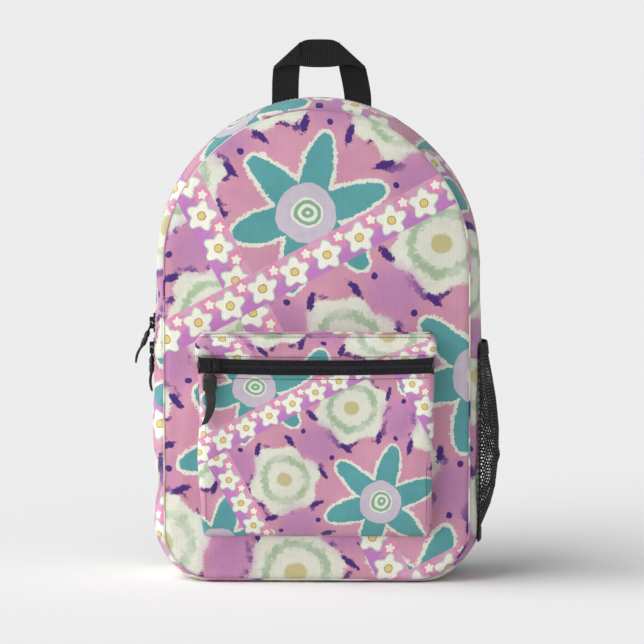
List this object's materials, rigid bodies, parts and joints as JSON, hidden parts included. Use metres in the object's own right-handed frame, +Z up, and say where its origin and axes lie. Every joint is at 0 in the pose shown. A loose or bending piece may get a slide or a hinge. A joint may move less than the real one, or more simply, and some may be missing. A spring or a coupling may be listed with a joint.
{
  "type": "school backpack",
  "caption": "Arched zip-round school backpack with zipped front pocket, net bottle pocket, webbing top handle and padded shoulder straps.",
  "frame": {"origin": "on the floor in the middle of the flat base, below the main compartment", "axes": "+Z up to the handle, front pocket towards -Y, wearer's back and shoulder straps towards +Y, net bottle pocket towards +X"},
  "size_m": [0.3343, 0.2082, 0.496],
  "materials": {
    "print_canvas": "multicolour kaleidoscope print on plain-weave polyester canvas, matt",
    "binding": "black ribbed binding tape",
    "lining": "dark plain-weave lining",
    "foam": "closed-cell foam pad, covered",
    "air_mesh": "black padded air mesh",
    "net": "black stretch net with open holes",
    "zip_tape": "black woven zip tape",
    "zip_coil": "black nylon coil, slight sheen",
    "webbing": "black ribbed polypropylene webbing",
    "lock_plastic": "black acetal",
    "slider_metal": "black painted die casting, satin",
    "pull_rubber": "black moulded soft plastic, satin"
  },
  "bodies": {
    "bag": {"gusset_back": "print_canvas", "bottom_panel": "print_canvas", "side_panel_left": "print_canvas", "side_panel_right": "print_canvas", "front_seam_binding_lower": "binding", "back_seam_binding": "binding", "front_panel_lower": "print_canvas", "back_lining": "lining", "back_foam": "foam", "back_panel": "air_mesh", "strap_yoke": "print_canvas", "laptop_sleeve": "lining", "sleeve_binding": "binding", "main_zip_back_tape": "zip_tape", "main_zip_back_coil": "zip_coil", "main_zip_front_tape_ends": "zip_tape", "main_zip_front_coil_ends": "zip_coil", "main_zip_stops": "zip_coil", "pocket_zip_upper_tape": "zip_tape", "pocket_zip_upper_coil": "zip_coil", "pocket_zip_lower_tape": "zip_tape", "pocket_zip_lower_coil": "zip_coil", "pocket_zip_stops": "zip_coil", "pocket_top_band": "print_canvas", "pocket_face": "print_canvas", "pocket_gusset_left": "print_canvas", "pocket_gusset_right": "print_canvas", "bottle_pocket_net": "net", "bottle_pocket_elastic_hem": "binding", "bottle_pocket_foot": "net", "handle_seam_tabs": "webbing", "right_strap_root": "air_mesh", "left_strap_root": "air_mesh", "right_corner_tab": "webbing", "left_corner_tab": "webbing"},
    "front_flap": {"gusset_front": "print_canvas", "front_panel_upper": "print_canvas", "front_seam_binding_upper": "binding", "main_zip_front_tape": "zip_tape", "main_zip_front_coil": "zip_coil"},
    "top_handle": {"top_handle": "webbing"},
    "main_slider_upper": {"main_slider_upper": "slider_metal"},
    "main_pull_upper": {"main_pull_bail_upper": "slider_metal", "main_pull_tab_upper": "pull_rubber"},
    "main_slider_lower": {"main_slider_lower": "slider_metal"},
    "main_pull_lower": {"main_pull_bail_lower": "slider_metal", "main_pull_tab_lower": "pull_rubber"},
    "pocket_slider": {"pocket_slider": "slider_metal"},
    "pocket_pull": {"pocket_pull_bail": "slider_metal", "pocket_pull_tab": "pull_rubber"},
    "right_strap": {"right_strap_pad": "air_mesh", "right_lock_loop_webbing": "webbing", "right_ladder_lock": "lock_plastic", "right_lower_webbing": "webbing"},
    "left_strap": {"left_strap_pad": "air_mesh", "left_lock_loop_webbing": "webbing", "left_ladder_lock": "lock_plastic", "left_lower_webbing": "webbing"}
  },
  "joints": [
    {"name": "flap_fold", "type": "hinge", "parent": "bag", "child": "front_flap", "pos_m": [0, -0.067, 0.2462], "axis": [1, 0, 0], "range_deg": [0, 95]},
    {"name": "handle_fold", "type": "hinge", "parent": "bag", "child": "top_handle", "pos_m": [0, 0.0489, 0.4372], "axis": [1, 0, 0], "range_deg": [-90, 75]},
    {"name": "main_slider_upper_run", "type": "slide", "parent": "bag", "child": "main_slider_upper", "axis": [0, 0, 1], "range_m": [0, 0.045]},
    {"name": "main_slider_lower_run", "type": "slide", "parent": "bag", "child": "main_slider_lower", "axis": [0, 0, 1], "range_m": [-0.003, 0.004]},
    {"name": "main_pull_upper_swing", "type": "hinge", "parent": "main_slider_upper", "child": "main_pull_upper", "pos_m": [-0.1537, -0.004, 0.234], "axis": [0, 1, 0], "range_deg": [-3, 140]},
    {"name": "main_pull_lower_swing", "type": "hinge", "parent": "main_slider_lower", "child": "main_pull_lower", "pos_m": [-0.1537, -0.004, 0.211], "axis": [0, 1, 0], "range_deg": [0, 15]},
    {"name": "pocket_slider_run", "type": "slide", "parent": "bag", "child": "pocket_slider", "axis": [1, 0, 0], "range_m": [0, 0.19]},
    {"name": "pocket_pull_swing", "type": "hinge", "parent": "pocket_slider", "child": "pocket_pull", "pos_m": [-0.095, -0.0946, 0.201], "axis": [-1, 0, 0], "range_deg": [0, 120]},
    {"name": "right_strap_swing", "type": "hinge", "parent": "bag", "child": "right_strap", "pos_m": [0.046, 0.066, 0.402], "axis": [0.1871, 0, -0.9823], "range_deg": [-25, 25]},
    {"name": "left_strap_swing", "type": "hinge", "parent": "bag", "child": "left_strap", "pos_m": [-0.046, 0.066, 0.402], "axis": [-0.1871, 0, -0.9823], "range_deg": [-25, 25]}
  ]
}
